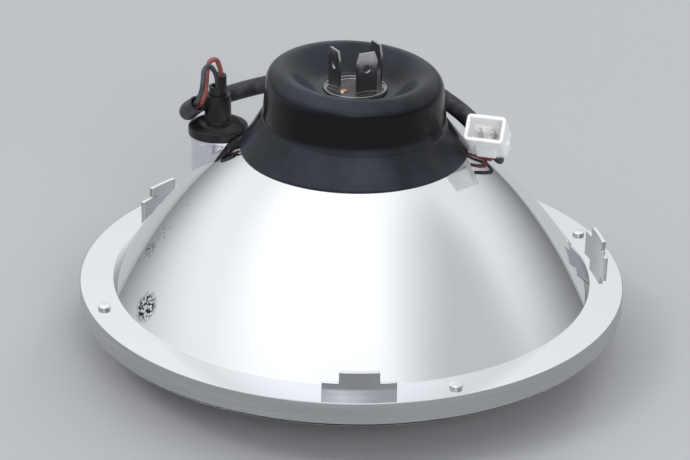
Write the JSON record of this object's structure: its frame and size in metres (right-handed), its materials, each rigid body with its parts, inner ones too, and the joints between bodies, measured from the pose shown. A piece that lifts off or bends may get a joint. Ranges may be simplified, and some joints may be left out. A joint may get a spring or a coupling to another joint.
{
  "type": "motorcycle headlight unit",
  "caption": "Round motorcycle headlight unit seen from behind: mirror bowl and flange with stepped tabs, clear lens, bladed bulb in a rubber boot, and a plugged-in pilot lamp with its lead.",
  "frame": {"origin": "middle of the footprint, on the plane that the lens's dome stands on", "axes": "+Z along the optical axis, from the lens to the bulb's terminals; +X to the right as the picture shows the unit, +Y away from the camera"},
  "size_m": [0.196, 0.196, 0.1128],
  "materials": {
    "reflector": "vacuum-metallised mirror inside and out, satin on the rim",
    "lens": "clear moulding, plain inside and out",
    "sealant": "matt sealant",
    "steel": "bright plated sheet and wire",
    "insulator": "dark moulded insulator",
    "bulb_glass": "clear quartz and glass",
    "tungsten": "wire and coiled filament",
    "rubber_black": "black moulded rubber with a satin sheen",
    "holder_black": "black moulding",
    "brass": "spring contacts",
    "wire_black": "black insulation",
    "wire_red": "dull red insulation",
    "connector_nylon": "milky white nylon"
  },
  "bodies": {
    "root": {"reflector": "reflector", "lens": "lens", "lens_seal": "sealant", "seat_ring": "steel", "ring_screws": "steel", "bulb_clip": "steel", "prefocus_flange": "steel", "bulb_shell": "steel", "bulb_insulator": "insulator", "blade_ground": "steel", "blade_low": "steel", "blade_high": "steel", "bulb_glass": "bulb_glass", "filament_leads": "tungsten", "filament_low": "tungsten", "filament_high": "tungsten", "dip_shield": "steel", "dust_boot": "rubber_black", "pilot_grommet": "rubber_black", "pilot_holder": "holder_black", "pilot_contacts": "brass", "pilot_bulb": "bulb_glass", "pilot_filament": "tungsten", "wire_black": "wire_black", "wire_red": "wire_red", "lead_sleeve": "rubber_black", "tail_black": "wire_black", "tail_red": "wire_red", "connector_housing": "connector_nylon", "connector_pins": "steel"}
  },
  "joints": []
}
